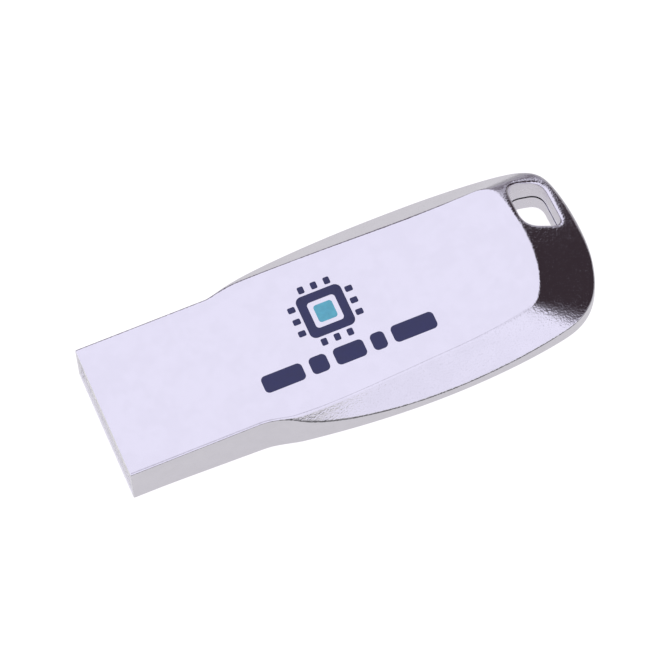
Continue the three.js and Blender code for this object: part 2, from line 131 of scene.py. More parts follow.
def to_frame(points):
    """Points in millimetres from the plug's mouth, as metres in the frame."""
    points = np.asarray(points, float).reshape(-1, 3) * MM
    return points + np.array([MOUTH_X, 0.0, MID_HEIGHT])


# -------------------------------------------------------------------- outlines

# Stretches of each outline, from the near shoulder round the keyring end to the far shoulder.
STEPS = [24, 56, 52, 36, 40, 36, 56, 56, 24]

# Rim: x, y, height of its upper edge, height of its lower edge
W = HALF_WIDTH
RIM = [
    (PLUG_END, -6.0, 2.15, -2.65),
    (12.2, -6.03, 2.15, -2.62),
    (13.3, -6.4, 2.1, -2.65),
    (14.2, -6.82, 1.68, -2.15),
    (16.2, -7.55, 0.65, -1.15),
    (21.0, -W, -0.04, -1.02),
    (26.5, -W, -0.06, -1.0),
    (31.0, -W, -0.06, -1.0),
    (35.0, -7.85, 0.36, -1.0),
    (37.4, -7.3, 0.42, -1.05),
    (39.6, -6.75, 0.45, -1.1),
    (40.7, -5.3, 0.45, -0.95),
    (41.25, -3.4, 0.45, -0.85),
    (LENGTH + 0.2, -1.2, 0.45, -0.75),
    (LENGTH + 0.2, 2.0, 0.45, -0.75),
    (41.45, 4.6, 0.45, -0.75),
    (41.1, 6.15, 0.45, -0.75),
    (40.8, 6.95, 0.45, -0.75),
    (38.7, 7.4, 0.45, -0.75),
    (35.8, 8.05, 0.35, -0.8),
    (31.0, W, 0.08, -0.97),
    (26.5, W, 0.08, -0.97),
    (21.0, W, 0.08, -1.02),
    (16.2, 7.55, 0.95, -1.15),
    (14.2, 6.84, 1.79, -2.1),
    (12.9, 6.52, 2.1, -2.5),
    (12.0, 6.1, 2.15, -2.62),
    (PLUG_END, 6.0, 2.15, -2.65),
]

# Edge of the flat top: x, y
FLAT_TOP = [
    (PLUG_END, -5.9),
    (12.2, -5.93),
    (13.1, -6.3),
    (14.0, -6.48),
    (17.5, -6.72),
    (22.5, -6.3),
    (28.0, -6.04),
    (31.0, -5.9),
    (33.0, -5.55),
    (34.6, -5.15),
    (35.3, -4.97),
    (35.6, -4.8),
    (35.95, -4.3),
    (37.1, -2.7),
    (37.6, 0.2),
    (37.0, 3.6),
    (36.8, 5.2),
    (36.4, 6.2),
    (35.0, 6.25),
    (33.0, 6.18),
    (30.0, 6.15),
    (27.0, 6.22),
    (22.0, 6.35),
    (18.0, 6.42),
    (14.4, 6.4),
    (13.0, 6.4),
    (12.1, 5.98),
    (PLUG_END, 5.9),
]

PLUG_STATIONS = [0.0, 0.015, 0.035, 0.06, 0.1, 1.0, 2.5, 4.0, 6.0, 8.0, 10.0, 11.0]

# The keyring slot: x, y of its corners and how far each corner's rounding reaches
HOLE = [(37.4, 1.85, 1.3), (40.62, 1.15, 1.1), (40.5, 5.55, 1.1), (37.4, 6.2, 1.5)]
HOLE_CENTRE = (38.95, 3.7)
HOLE_INSET = 0.06  # how much smaller the slot is in the lower cover
HOLE_POINTS = 26  # on each corner of the slot; each side has a third as many


def cubic_chain(control, steps):
    """Points along joined cubic curves, with three control points a stretch."""
    control = np.array(control, float)
    points = [control[0]]
    for stretch, count in enumerate(steps):
        a, b, c, d = control[3 * stretch : 3 * stretch + 4]
        for t in np.arange(1, count + 1) / count:
            s = 1 - t
            points.append(a * s**3 + 3 * b * s * s * t + 3 * c * s * t * t + d * t**3)
    return np.array(points)


def smoothed(points, passes=12):
    """The same open chain with its bends evened out. Its ends stay."""
    points = points.copy()
    for _ in range(passes):
        points[1:-1] = (points[:-2] + 2 * points[1:-1] + points[2:]) / 4
    return points


def rim_chain():
    return smoothed(cubic_chain(RIM, STEPS))


def flat_chain():
    return smoothed(cubic_chain(FLAT_TOP, STEPS))


def smoothstep(x, start, end):
    t = np.clip((x - start) / (end - start), 0, 1)
    return t * t * (3 - 2 * t)


def underside_height(x):
    """The plug grows a little deeper from its mouth, then its underside slopes down to the body's base."""
    plug = -TOP - PLUG_TAPER * np.clip(x - PLUG_TAPER_START, 0, None)
    return plug + (BASE - plug) * smoothstep(x, PLUG_END, SHOULDER_END)


def inward(points):
    """Unit vectors in plan that point into an outline that runs anticlockwise."""
    along = np.gradient(points[:, :2], axis=0)
    along /= np.linalg.norm(along, axis=1)[:, None]
    return np.stack([-along[:, 1], along[:, 0]], axis=1)


def stations():
    """The outer corners of the case's cross-section at each station, from the near side of the mouth
    round the keyring end to the far side: the edge of the flat top, the rim's upper and lower edge and
    the edge of the underside."""
    rim = rim_chain()
    flat = flat_chain()
    plug = np.array(PLUG_STATIONS)
    rounding = np.maximum(MOUTH_EDGE - plug, 0)
    pull = MOUTH_EDGE - np.sqrt(MOUTH_EDGE**2 - rounding**2)
    near_rim = np.stack(
        [
            plug,
            -PLUG_HALF_WIDTH + pull,
            TOP - PLUG_EDGE - pull,
            underside_height(plug) + PLUG_EDGE + pull,
        ],
        axis=1,
    )
    far_rim = near_rim[::-1] * [1, -1, 1, 1]
    rim = np.concatenate([near_rim, rim, far_rim])
    near_flat = np.stack([plug, -PLUG_HALF_WIDTH + PLUG_EDGE + pull], axis=1)
    flat = np.concatenate([near_flat, flat, near_flat[::-1] * [1, -1]])
    pull = np.concatenate([pull, np.zeros(len(rim) - 2 * len(plug)), pull[::-1]])
    skirt = SKIRT + (TAIL_SKIRT - SKIRT) * smoothstep(rim[:, 0], *SKIRT_CHANGE)
    inset = PLUG_EDGE + (skirt - PLUG_EDGE) * smoothstep(rim[:, 0], PLUG_END, SHOULDER_END)
    under = rim[:, :2] + inward(rim) * inset[:, None]
    plug_part = rim[:, 0] <= PLUG_END
    under[plug_part, 0] = rim[plug_part, 0]
    return {
        "flat": np.column_stack([flat, TOP - pull]),
        "upper": rim[:, [0, 1, 2]],
        "lower": rim[:, [0, 1, 3]],
        "under": np.column_stack([under, underside_height(under[:, 0]) + pull]),
    }


# ------------------------------------------------------------------- case mesh


def unit(vector):
    return vector / np.linalg.norm(vector)


def bend(start, corner, end, count):
    """Points of the curve from start to end that leans towards the corner between them."""
    return [
        start * (1 - t) ** 2 + 2 * corner * t * (1 - t) + end * t * t
        for t in np.linspace(0, 1, count)
    ]


def corner_curve(before, corner, after, reach, count):
    """Points of the curve that rounds a corner off, starting and ending `reach` from it."""
    a = before - corner
    b = after - corner
    length_a = np.linalg.norm(a)
    length_b = np.linalg.norm(b)
    start = corner + a / length_a * min(reach, 0.45 * length_a)
    end = corner + b / length_b * min(reach, 0.45 * length_b)
    return bend(start, corner, end, count)


def between(a, b, count):
    """`count` points that divide the line from a to b, without its ends."""
    return [a + (b - a) * t for t in np.linspace(0, 1, count + 2)[1:-1]]


def rim_reach(x, y):
    """How far the rim's rounding reaches: crisp on the near side, soft at the far end."""
    tail = smoothstep(x, *TAIL_CHANGE)
    far = smoothstep(y, *RIM_CHANGE)
    return RIM_EDGE + far * (FAR_SOFTER + TAIL_SOFTER * tail)


def section(flat, upper, lower, under):
    """One cross-section from the flat top, over the rim, to the underside. Returns its points and the
    numbers of the first and last point that the wall is made of."""
    margin = 0.35
    top_in = flat + unit((flat - upper) * [1, 1, 0]) * margin
    under_in = under + unit((under - lower) * [1, 1, 0]) * margin
    under_in[2] = under[2]
    top_reach = FLAT_EDGE + FAR_SOFTER * smoothstep(flat[1], *FLAT_CHANGE)
    top_edge = corner_curve(top_in, flat, upper, top_reach, 8)
    upper_edge = corner_curve(flat, upper, lower, rim_reach(*upper[:2]), 12)
    lower_edge = corner_curve(upper, lower, under, LOWER_EDGE, 6)
    under_edge = corner_curve(lower, under, under_in, UNDER_EDGE, 6)
    top = [top_in, *top_edge, *between(top_edge[-1], upper_edge[0], 14), *upper_edge]
    bottom = [*lower_edge, *between(lower_edge[-1], under_edge[0], 8), *under_edge, under_in]
    return np.array(top + bottom), len(top) - 1, len(top)


def case_grid():
    """The case's outer surface as rows of points, one row per station, and where its wall lies."""
    corners = stations()
    rows = []
    for flat, upper, lower, under in zip(*corners.values()):
        points, wall_start, wall_end = section(flat, upper, lower, under)
        rows.append(points)
    return np.array(rows), wall_start, wall_end


def strips(start, end, width, first, last):
    """Faces between rows `start` to `end` of a grid `width` points wide, for columns first to last."""
    return [
        (i * width + k, i * width + k + 1, (i + 1) * width + k + 1, (i + 1) * width + k)
        for i in range(start, end)
        for k in range(first, last)
    ]


def infill(count, width, column, crossings):
    """Faces that join the near and far ends of one column: strips straight across for the first rows,
    then one face for the rest."""
    at = [i * width + column for i in range(count)]
    far = at[::-1]
    faces = [(at[i], at[i + 1], far[i + 1], far[i]) for i in range(crossings)]
    return faces + [tuple(at[crossings : count - crossings])]


def inside(points, edges):
    """Which plan points lie inside the loops made of `edges`, given as pairs of plan points."""
    x, y = np.asarray(points, float).T[:, :, None]
    x0, y0, x1, y1 = np.asarray(edges, float).reshape(-1, 4).T[:, None, :]
    spans = (y0 > y) != (y1 > y)
    with np.errstate(divide="ignore", invalid="ignore"):
        crossing = x0 + (y - y0) * (x1 - x0) / (y1 - y0)
    return (spans & (x < crossing)).sum(axis=1) % 2 == 1


def loop_edges(points):
    points = np.asarray(points, float)[:, :2]
    return np.stack([points, np.roll(points, -1, axis=0)], axis=1)


def hole_outline(inset):
    """The keyring slot's outline in plan: four sides with rounded corners."""
    corners = np.array(HOLE)[:, :2]
    corners = corners + np.sign(np.array(HOLE_CENTRE) - corners) * inset
    reach = np.array(HOLE)[:, 2] - inset
    points = []
    for i, corner in enumerate(corners):
        after = (i + 1) % len(corners)
        start = corner + unit(corners[i - 1] - corner) * reach[i]
        end = corner + unit(corners[after] - corner) * reach[i]
        following = corners[after] + unit(corner - corners[after]) * reach[after]
        curve = bend(start, corner, end, HOLE_POINTS)
        points += [*curve, *between(end, following, HOLE_POINTS // 3)]
    return np.array(points)


def offset_loop(points, distance):
    """A closed anticlockwise loop moved outwards, by one distance or by one for each point."""
    along = np.roll(points, -1, axis=0) - np.roll(points, 1, axis=0)
    along /= np.linalg.norm(along, axis=1)[:, None]
    return points + (np.stack([along[:, 1], -along[:, 0]]) * distance).T


def hole_edge(outline):
    """How wide the slot's rounded upper edge is: widest towards the tail."""
    x, y = (outline - HOLE_CENTRE).T
    turn = np.arctan2(y, 1.3 * x) - math.radians(15)
    return SLOT_EDGE + SLOT_TAIL_EDGE * np.maximum(np.cos(turn), 0)


def pierce(vertices, faces, outline, reach, depth, up):
    """Cuts a hole into a sheet that covers its plan once, and rounds its edge off over `reach` in plan
    and `depth` in height. `up` is 1 for the upper sheet and -1 for the underside. Returns vertices,
    faces and the hole's last ring."""
    sheet = BVHTree.FromPolygons([Vector(v) for v in vertices], faces)
    outside = 20 * up  # a height beyond the sheet
    margin = 0.04  # keeps the sheet's own points off the new edge
    sliver = 1e-6  # twice the area of the smallest triangle that is kept

    def height(points):
        hits = [sheet.ray_cast(Vector((x, y, outside)), Vector((0, 0, -up)))[0] for x, y in points]
        return np.array([hit.z for hit in hits])

    rim = offset_loop(outline, reach)
    rim_height = height(rim)
    edge_height = height(outline)
    keep_clear = loop_edges(offset_loop(outline, reach + margin))
    cleared = inside(vertices[:, :2], keep_clear)
    removed = []
    kept = []
    for face in faces:
        hit = any(cleared[v] for v in face)
        if len(face) > 4:
            hit = inside(rim, loop_edges(vertices[list(face)])).any()
        (removed if hit else kept).append(face)
    sides = {(f[i - 1], f[i]) for f in removed for i in range(len(f))}
    border = [(a, b) for a, b in sides if (b, a) not in sides]
    border_edges = vertices[np.array(border)][:, :, :2]
    used = sorted({v for f in removed for v in f if not cleared[v]})
    number = {v: i for i, v in enumerate(used)}
    flat = [Vector(vertices[v][:2]) for v in used] + [Vector(p) for p in rim]
    first_rim = len(used)
    edges = [(number[a], number[b]) for a, b in border]
    edges += [(first_rim + i, first_rim + (i + 1) % len(rim)) for i in range(len(rim))]
    _, _, triangles, origin, _, _ = delaunay_2d_cdt(flat, edges, [], 0, 1e-7)
    triangles = [tuple(origin[v][0] for v in t) for t in triangles]
    corners = np.array([[flat[v] for v in t] for t in triangles])
    centres = corners.mean(axis=1)
    (ax, ay), (bx, by) = (corners[:, 1] - corners[:, 0]).T, (corners[:, 2] - corners[:, 0]).T
    wanted = inside(centres, border_edges) & ~inside(centres, loop_edges(rim))
    wanted &= ax * by - ay * bx > sliver
    base = len(vertices)
    names = used + [base + i for i in range(len(rim))]
    patch = [tuple(names[v] for v in t) for t, keep in zip(triangles, wanted) if keep]
    rings = []
    for t in np.linspace(0, 1, 9):
        plan = offset_loop(outline, reach * (1 - t) ** 2)
        z = rim_height * (1 - t) ** 2 + 2 * edge_height * t * (1 - t)
        z = z + (edge_height - up * depth) * t * t
        rings.append(np.column_stack([plan, z]))
    count = len(outline)
    rounding = [
        (
            base + j * count + i,
            base + j * count + (i + 1) % count,
            base + (j + 1) * count + (i + 1) % count,
            base + (j + 1) * count + i,
        )
        for j in range(len(rings) - 1)
        for i in range(count)
    ]
    if up < 0:
        patch = [t[::-1] for t in patch]
        rounding = [f[::-1] for f in rounding]
    vertices = np.concatenate([vertices, *rings])
    last = list(range(len(vertices) - count, len(vertices)))
    return vertices, kept + patch + rounding, last


def case_blank(hole_inset):
    """The whole case as one closed solid with the keyring slot through it."""
    grid, wall_start, wall_end = case_grid()
    count, width, _ = grid.shape
    vertices = grid.reshape(-1, 3)
    plug = len(PLUG_STATIONS)
    shoulder = plug + STEPS[0] + 2  # the row where the underside stops sloping
    last = width - 1
    upper = strips(0, count - 1, width, 0, wall_start) + infill(count, width, 0, plug)
    wall = strips(0, count - 1, width, wall_start, wall_end)
    under_infill = [f[::-1] for f in infill(count, width, last, shoulder)]
    lower = strips(0, count - 1, width, wall_end, last) + under_infill
    mouth = [tuple(range(width))[::-1] + tuple(range((count - 1) * width, count * width))]
    outline = hole_outline(hole_inset)
    edge = hole_edge(outline)
    vertices, upper, top_ring = pierce(vertices, upper, outline, edge, 0.5 * edge, 1)
    vertices, lower, under_ring = pierce(
        vertices, lower, outline, SLOT_UNDER_EDGE, SLOT_UNDER_EDGE, -1
    )
    around = zip(top_ring, np.roll(top_ring, -1), np.roll(under_ring, -1), under_ring)
    bore = [tuple(int(v) for v in face) for face in around]
    return vertices, upper + wall + lower + mouth + bore


# --------------------------------------------------------------- mesh objects


def make_object(name, vertices, faces):
    """A mesh object in millimetres, with smooth faces and no loose points."""
    mesh = bpy.data.meshes.new(name)
    used = sorted({v for face in faces for v in face})
    number = {v: i for i, v in enumerate(used)}
    points = [tuple(vertices[v]) for v in used]
    mesh.from_pydata(points, [], [[number[v] for v in face] for face in faces])
    mesh.polygons.foreach_set("use_smooth", [True] * len(mesh.polygons))
    piece = bpy.data.objects.new(name, mesh)
    bpy.context.scene.collection.objects.link(piece)
    return piece


def ring_solid(name, rings):
    """A closed solid through stacked loops of equally many points, lowest loop first."""
    rings = [np.asarray(ring, float) for ring in rings]
    count = len(rings[0])
    faces = [tuple(range(count))[::-1]]
    for level in range(len(rings) - 1):
        for i in range(count):
            a = level * count + i
            b = level * count + (i + 1) % count
            faces.append((a, b, b + count, a + count))
    last = (len(rings) - 1) * count
    faces.append(tuple(range(last, last + count)))
    return make_object(name, np.concatenate(rings), faces)


def raised(plan, z):
    plan = np.asarray(plan, float)
    return np.column_stack([plan[:, :2], np.broadcast_to(z, len(plan))])


def block(name, x, y, z):
    plan = [(x[0], y[0]), (x[1], y[0]), (x[1], y[1]), (x[0], y[1])]
    return ring_solid(name, [raised(plan, z[0]), raised(plan, z[1])])


def across(name, profile, y):
    """A side profile of (x, z) points, anticlockwise from the near side, drawn out across the drive."""
    loops = [[(x, edge, z) for x, z in profile] for edge in y]
    return ring_solid(name, loops[::-1])


def combine(piece, tool, operation):
    """piece becomes its union, difference or intersection with tool, which is used up."""
    modifier = piece.modifiers.new("cut", "BOOLEAN")
    modifier.operation = operation
    modifier.object = tool
    modifier.solver = "EXACT"
    bpy.context.view_layer.update()
    graph = bpy.context.evaluated_depsgraph_get()
    result = bpy.data.meshes.new_from_object(piece.evaluated_get(graph))
    piece.modifiers.clear()
    piece.data = result
    bpy.data.objects.remove(tool)
    return piece


def finish_piece(piece, material, nodes, sharp=30):
    """Puts a piece in the frame, on its body, with its material and crisp edges."""
    points = np.empty(len(piece.data.vertices) * 3)
    piece.data.vertices.foreach_get("co", points)
    piece.data.vertices.foreach_set("co", to_frame(points).ravel())
    piece.data.set_sharp_from_angle(angle=math.radians(sharp))
    piece.data.update()
    piece.data.materials.clear()
    piece.data.materials.append(material)
    weighted = piece.modifiers.new("weighted normals", "WEIGHTED_NORMAL")
    weighted.keep_sharp = True
    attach(piece, "root")
    if nodes:
        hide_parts(*nodes)
    return piece


# ------------------------------------------------------------------- the case


def above_seam(drop):
    """A block that holds everything above the parting line, its lower face lowered by `drop`."""
    profile = [
        (-1, PLUG_SEAM - drop),
        (SEAM_RISE[0], PLUG_SEAM - drop),
        (SEAM_RISE[1], SEAM - drop),
        (50, SEAM - drop),
        (50, 9),
        (-1, 9),
    ]
    return across("above_seam", profile, ACROSS)


def cavity():
    """The room for the board."""
    rim = rim_chain()[::6]
    flat = flat_chain()[::6]
    side = rim[:, :2] + inward(rim) * WALL
    roof_edge = flat + inward(flat) * ROOF_INSET
    floor_edge = rim[:, :2] + inward(rim) * FLOOR_INSET
    shoulder = np.minimum(rim[:, 2], TOP - ROOF) - CAVITY_SHOULDER
    room = ring_solid(
        "cavity",
        [
            raised(floor_edge, BASE + FLOOR),
            raised(side, SEAM),
            raised(side, shoulder),
            raised(roof_edge, TOP - ROOF),
        ],
    )
    return combine(room, block("span", CAVITY, ACROSS, (BASE, TOP)), "INTERSECT")


def plug_bore():
    """The plug's inside, with a small corner radius and a lead-in at the mouth."""
    half_width = PLUG_HALF_WIDTH - PLUG_WALL
    half_height = TOP - PLUG_WALL
    radius = PLUG_BORE_RADIUS

    def loop(x, grow):
        corners = []
        for turn, (sy, sz) in enumerate([(1, 1), (-1, 1), (-1, -1), (1, -1)]):
            centre = (sy * (half_width - radius), sz * (half_height - radius))
            for t in np.linspace(0, 1, 5):
                angle = math.pi / 2 * (turn + t)
                y = centre[0] + (radius + grow) * math.cos(angle)
                z = centre[1] + (radius + grow) * math.sin(angle)
                corners.append((x, y, z))
        return corners

    stages = [
        (-1.0, MOUTH_LEAD_IN),
        (0.0, MOUTH_LEAD_IN),
        (MOUTH_LEAD_IN, 0.0),
        (CAVITY[0] + 0.1, 0.0),
    ]
    return ring_solid("plug_bore", [loop(x, grow) for x, grow in stages])


PIN = (38.6, -2.4)
PIN_RADIUS = 0.6
PIN_TOP = -0.5


def pin(radius, bottom, top):
    turns = np.linspace(0, 2 * math.pi, 32, endpoint=False)
    plan = np.stack([PIN[0] + radius * np.cos(turns), PIN[1] + radius * np.sin(turns)], axis=1)
    return ring_solid("pin", [raised(plan, bottom), raised(plan, top)])


def upper_housing():
    piece = make_object("upper_housing_metal", *case_blank(0.0))
    combine(piece, above_seam(0), "INTERSECT")
    combine(piece, cavity(), "DIFFERENCE")
    combine(piece, plug_bore(), "DIFFERENCE")
    combine(piece, pin(PIN_RADIUS + CLEARANCE, SEAM - 1, PIN_TOP + 0.2), "DIFFERENCE")
    return piece


def locating_lip(side):
    """A low curved rail that centres the cover between the housing's walls."""
    rim = rim_chain()[::4]
    outer = rim[:, :2] + inward(rim) * (WALL + CLEARANCE)
    inner = rim[:, :2] + inward(rim) * (WALL + CLEARANCE + LIP["thickness"])
    stretch = (rim[:, 0] > LIP["start"]) & (rim[:, 0] < LIP["end"]) & (np.sign(rim[:, 1]) == side)
    plan = np.concatenate([outer[stretch], inner[stretch][::-1]])
    return ring_solid("lip", [raised(plan, SEAM - ROOT), raised(plan, SEAM + LIP["height"])])


def posts(place, side, top):
    """Posts on the cover's floor, on one side of the board."""
    made = []
    for x in place["x"]:
        reach = (x - place["length"] / 2, x + place["length"] / 2)
        middle = side * place["y"]
        width = (middle - place["width"] / 2, middle + place["width"] / 2)
        made.append(block("post", reach, width, (BASE + FLOOR - POST_ROOT, top)))
    return made


def lower_cover():
    piece = make_object("lower_cover_metal", *case_blank(HOLE_INSET))
    combine(piece, above_seam(SEAM_GAP), "DIFFERENCE")
    combine(piece, cavity(), "DIFFERENCE")
    board_bottom = (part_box("circuit_board")[0].z - MID_HEIGHT) / MM
    for side in (-1, 1):
        combine(piece, locating_lip(side), "UNION")
        rests = posts(RESTS, side, board_bottom - BOARD_GAP)
        ribs = posts(RIBS, side, board_bottom + RIB_RISE)
        for post in rests + ribs:
            combine(piece, post, "UNION")
    combine(piece, pin(PIN_RADIUS, SEAM - ROOT, PIN_TOP), "UNION")
    return piece


# ------------------------------------------------------------------ materials

HOUSING_TINT = (0.86, 0.845, 0.885)
COVER_TINT = (0.84, 0.83, 0.87)
# Lighter metal colours for the slot's walls and the plug's inside: painted light
SLOT_WALL_PAINTED_LIGHT = (0.93, 0.91, 0.955)
PLUG_INSIDE_PAINTED_LIGHT = (0.98, 0.975, 0.98)
NAVY = (0.024, 0.026, 0.112)
TEAL = (0.11, 0.44, 0.61)
BLACK_EPOXY = (0.025, 0.025, 0.028)


class Nodes:
    """A node tree with short calls for the nodes used here."""

    def __init__(self, tree):
        self.tree = tree
        tree.nodes.clear()

    def add(self, kind, **settings):
        made = self.tree.nodes.new(kind)
        for name, value in settings.items():
            setattr(made, name, value)
        return made

    def link(self, source, socket):
        self.tree.links.new(source, socket)

    def put(self, socket, value):
        if isinstance(value, bpy.types.NodeSocket):
            self.link(value, socket)
        else:
            socket.default_value = value

    def vector(self, operation, a, b):
        made = self.add("ShaderNodeVectorMath", operation=operation)
        self.put(made.inputs[0], a)
        self.put(made.inputs[1], b)
        return made.outputs[0]

    def math(self, operation, a, b=0.0):
        made = self.add("ShaderNodeMath", operation=operation)
        self.put(made.inputs[0], a)
        self.put(made.inputs[1], b)
        return made.outputs[0]

    def both(self, value, scale):
        """A vector along x and y, `scale` times a value."""
        made = self.add("ShaderNodeCombineXYZ")
        scaled = self.math("MULTIPLY", value, scale)
        self.link(scaled, made.inputs[0])
        self.link(scaled, made.inputs[1])
        return made.outputs[0]

    def length(self, vector):
        made = self.add("ShaderNodeVectorMath", operation="LENGTH")
        self.link(vector, made.inputs[0])
        return made.outputs["Value"]

    def parts(self, vector):
        made = self.add("ShaderNodeSeparateXYZ")
        self.link(vector, made.inputs[0])
        return made.outputs

    def ramp(self, value, start, end):
        """0 before `start`, 1 beyond `end`, and a smooth step between them."""
        made = self.add("ShaderNodeMapRange", interpolation_type="SMOOTHSTEP")
        for socket, number in zip(made.inputs, (value, start, end, 0.0, 1.0)):
            self.put(socket, number)
        return made.outputs[0]

    def between(self, value, low, high):
        """A factor from 0 to 1, as a number from `low` to `high`."""
        made = self.add("ShaderNodeMapRange")
        for socket, number in zip(made.inputs, (value, 0.0, 1.0, low, high)):
            self.put(socket, number)
        return made.outputs[0]

    def mix_value(self, factor, a, b):
        made = self.add("ShaderNodeMix")
        for socket, number in zip(made.inputs, (factor, None, a, b)):
            if number is not None:
                self.put(socket, number)
        return made.outputs[0]

    def mix(self, factor, a, b):
        made = self.add("ShaderNodeMix", data_type="RGBA")
        self.put(made.inputs[0], factor)
        self.put(made.inputs[6], a if isinstance(a, bpy.types.NodeSocket) else (*a, 1))
        self.put(made.inputs[7], b if isinstance(b, bpy.types.NodeSocket) else (*b, 1))
        return made.outputs[2]


class Surface(Nodes):
    """A material's nodes. Lengths are in millimetres."""

    def __init__(self, name):
        self.material = bpy.data.materials.new(name)
        self.material.use_nodes = True
        super().__init__(self.material.node_tree)
        self.shader = self.add("ShaderNodeBsdfPrincipled")
        output = self.add("ShaderNodeOutputMaterial")
        self.link(self.shader.outputs[0], output.inputs["Surface"])
        coordinates = self.add("ShaderNodeTexCoord").outputs["Object"]
        self.place = self.vector("MULTIPLY", coordinates, (1 / MM,) * 3)

    def set(self, **values):
        for name, value in values.items():
            self.put(self.shader.inputs[name.replace("_", " ").title()], value)

    def noise(self, size, detail=3.0, roughness=0.55, stretch=(1, 1, 1)):
        """Cloudy noise whose lumps are about `size` across, and longer along a stretched axis."""
        made = self.add("ShaderNodeTexNoise")
        scale = tuple(1 / (size * s) for s in stretch)
        self.link(self.vector("MULTIPLY", self.place, scale), made.inputs["Vector"])
        made.inputs["Scale"].default_value = 1.0
        made.inputs["Detail"].default_value = detail
        made.inputs["Roughness"].default_value = roughness
        return made.outputs["Fac"]

    def bump(self, height, depth, normal=None):
        """A normal for a surface whose height varies by `depth` millimetres."""
        made = self.add("ShaderNodeBump")
        made.inputs["Strength"].default_value = 1.0
        made.inputs["Distance"].default_value = MM
        self.link(self.math("MULTIPLY", height, depth), made.inputs["Height"])
        if normal is not None:
            self.link(normal, made.inputs["Normal"])
        return made.outputs[0]


def shaded(colour, factor):
    """A darker shade of a colour."""
    return tuple(factor * c for c in colour)


def inside_plug(surface):
    """1 on the plug's inner walls and on the lip of its mouth, 0 elsewhere."""
    x, y, z = surface.parts(surface.place)
    mouth, _, middle = (float(c) for c in to_frame((0, 0, 0))[0] / MM)
    off_middle = surface.math("ABSOLUTE", surface.math("SUBTRACT", z, middle))
    bore = surface.ramp(off_middle, 2.1, 2.0)
    bore = surface.math("MULTIPLY", bore, surface.ramp(x, mouth + 14.5, mouth + 14))
    bore = surface.math("MULTIPLY", bore, surface.ramp(surface.math("ABSOLUTE", y), 5.9, 5.8))
    lip = surface.ramp(x, mouth + 0.06, mouth + 0.02)
    return surface.math("MAXIMUM", bore, lip)


def in_slot(surface, facing):
    """1 on the keyring slot's walls, 0 elsewhere."""
    middle = tuple(float(c) for c in to_frame((*HOLE_CENTRE, 0))[0] / MM)
    offset = surface.vector("MULTIPLY", surface.vector("SUBTRACT", surface.place, middle), (1, 1, 0))
    near_slot = surface.ramp(surface.length(offset), 2.75, 2.7)
    return surface.math("MULTIPLY", near_slot, surface.ramp(facing, 0.3, 0.15))


def plated_metal(name, tint):
    """Bright plating over a die casting. The slopes keep the casting's grain and pits, and the flat top,
    which was polished more, keeps only a trace of them and faint clouds. The walls of the keyring slot
    and the plug's inside were not polished and are satin; their lighter colour is painted light."""
    surface = Surface(name)
    plug_inside = inside_plug(surface)
    clouds = surface.ramp(surface.noise(1.6, detail=2), 0.35, 0.65)
    smudge = surface.ramp(surface.noise(0.5, detail=4), 0.3, 0.7)
    facing = surface.parts(surface.add("ShaderNodeNewGeometry").outputs["Normal"])[2]
    slot_wall = in_slot(surface, facing)
    slope = surface.math("MULTIPLY", surface.ramp(facing, 0.998, 0.98), surface.ramp(facing, 0.05, 0.4))
    pits = surface.math("MULTIPLY", surface.ramp(surface.noise(0.14, detail=1), 0.55, 0.72), slope)
    shine = surface.mix(clouds, shaded(tint, 0.975), tint)
    shine = surface.mix(pits, shine, shaded(tint, 0.94))
    # The slot's walls and the plug's inside are lightened: painted light, for the light that the bright
    # floor throws into them
    shine = surface.mix(slot_wall, shine, SLOT_WALL_PAINTED_LIGHT)
    shine = surface.mix(plug_inside, shine, PLUG_INSIDE_PAINTED_LIGHT)
    normal = surface.bump(surface.noise(0.16, detail=1.0), surface.between(slope, 0.003, 0.018))
    normal = surface.bump(surface.noise(0.4, detail=2), 0.003, normal)
    rough = surface.between(smudge, 0.07, 0.12)
    rough = surface.math("ADD", rough, surface.math("MULTIPLY", pits, 0.12))
    rough = surface.math("ADD", rough, surface.math("MULTIPLY", slot_wall, 0.2))
    rough = surface.math("ADD", rough, surface.math("MULTIPLY", plug_inside, 0.45))
    surface.set(base_color=shine, metallic=1.0, roughness=rough, normal=normal)
    return surface.material


def ink(name, colour):
    """Screen-printed ink: a little thicker in places, with a soft sheen."""
    surface = Surface(name)
    patch = surface.ramp(surface.noise(0.6, detail=4), 0.3, 0.7)
    surface.set(
        base_color=surface.mix(patch, shaded(colour, 0.85), colour),
        roughness=surface.between(patch, 0.38, 0.52),
        normal=surface.bump(surface.noise(0.08), 0.004),
    )
    return surface.material


# ------------------------------------------------------------ floor and light

FLOOR_RADIUS = 2000.0
FLOOR_GLOW = (0.98, 0.96, 1.0, 1)
FLOOR_SEEN = 1.02  # how bright the floor is to the camera
FLOOR_REFLECTED = (0.01, 0.59)  # and in reflections, in its painted dark and bright zones

# The sky's colours. Each of the two cards has a second tone for its part near the horizon. Matt surfaces
# are lit by an even white sky instead.
CANOPY = (0.92, 0.90, 1.06)
CANOPY_LOW = (0.87, 0.85, 1.0)
CANOPY_OVERHEAD = (0.62, 0.60, 0.72)
FAR_CARD = (0.12, 0.10, 0.125)
FAR_CARD_LOW = (0.42, 0.40, 0.46)
END_CARD = (0.041, 0.029, 0.036)
END_CARD_LOW = (0.24, 0.21, 0.24)
DIFFUSE_LIGHT = (0.95, 0.95, 0.95)


